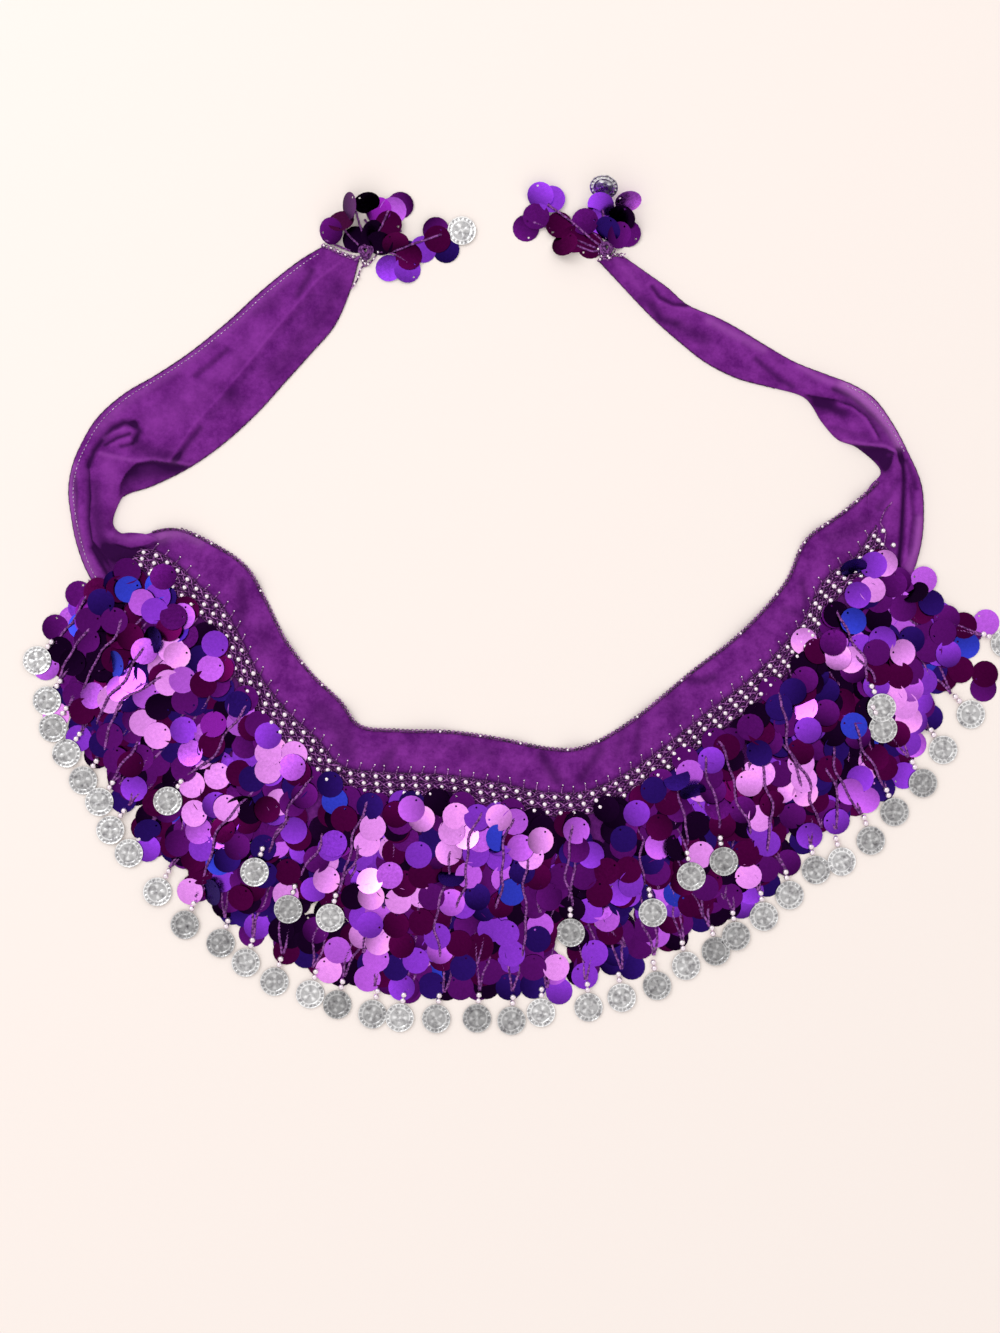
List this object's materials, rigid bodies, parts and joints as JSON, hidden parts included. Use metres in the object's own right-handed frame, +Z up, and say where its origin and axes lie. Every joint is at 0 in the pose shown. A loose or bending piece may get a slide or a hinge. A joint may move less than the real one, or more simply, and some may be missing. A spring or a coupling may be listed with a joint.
{
  "type": "belly dance hip scarf",
  "caption": "Hip scarf laid flat: curved chiffon panel with a beaded net, a fringe of round spangles and plain stamped coins, and two ties that end in tassels.",
  "frame": {"origin": "centre of the whole as laid out, on the surface it lies on", "axes": "+Z up from the surface, +Y from the fringe towards the tie ends, +X along the wearer's hips from the wide tie to the rolled tie"},
  "size_m": [0.6956, 0.602, 0.008],
  "materials": {
    "chiffon": "semi-sheer purple chiffon, matt",
    "bead_net": "dark crochet thread with rows of silver beads",
    "spangles": "glossy foil spangles in violet and lilac, with silver coins at the ends"
  },
  "bodies": {
    "root": {"hip_panel": "chiffon", "left_tie": "chiffon", "left_gather": "chiffon", "right_tie_tip": "chiffon", "right_tie": "chiffon", "right_twist": "chiffon", "right_gather": "chiffon", "bead_net": "bead_net", "hem_fringe_1": "spangles", "hem_fringe_2": "spangles", "hem_fringe_3": "spangles", "hem_fringe_4": "spangles", "hem_fringe_5": "spangles", "middle_fringe_1": "spangles", "middle_fringe_2": "spangles", "middle_fringe_3": "spangles", "middle_fringe_4": "spangles", "middle_fringe_5": "spangles", "upper_fringe_1": "spangles", "upper_fringe_2": "spangles", "upper_fringe_3": "spangles", "upper_fringe_4": "spangles", "upper_fringe_5": "spangles", "left_tassel": "spangles", "right_tassel": "spangles"}
  },
  "joints": []
}
